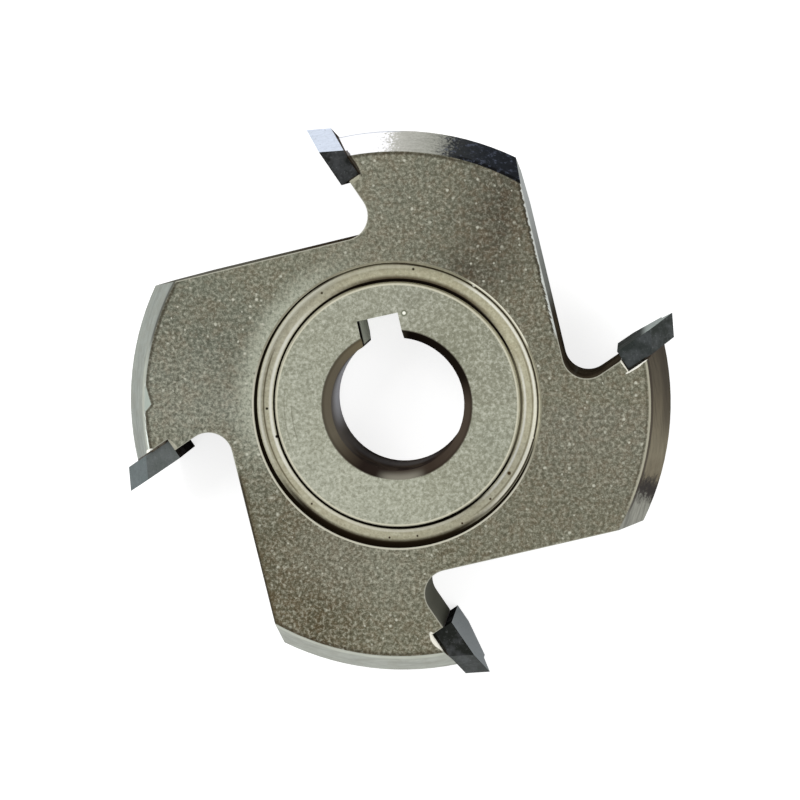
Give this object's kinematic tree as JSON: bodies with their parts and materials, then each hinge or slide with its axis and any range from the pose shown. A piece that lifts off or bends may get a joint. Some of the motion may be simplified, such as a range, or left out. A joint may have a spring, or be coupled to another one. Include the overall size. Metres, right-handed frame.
{
  "type": "bevel trimming cutter",
  "caption": "Flat steel cutter wheel with swept wings, a carbide tip brazed behind each chip gullet and a keyed bore, for trimming and bevelling edges.",
  "frame": {"origin": "on the axis of the bore, at the back face that the cutter lies on", "axes": "+Z along the bore to the front face; seen from the front, the first tip is near +Y and the tips lead anticlockwise"},
  "size_m": [0.066, 0.066, 0.013],
  "materials": {
    "steel": "sand-blasted faces with a bright turned bevel",
    "carbide": "ground tungsten carbide",
    "solder": "silver solder"
  },
  "bodies": {
    "root": {"cutter_body": "steel", "carbide_tip_1": "carbide", "carbide_tip_2": "carbide", "carbide_tip_3": "carbide", "carbide_tip_4": "carbide", "braze_seam_1": "solder", "braze_seam_2": "solder", "braze_seam_3": "solder", "braze_seam_4": "solder"}
  },
  "joints": []
}
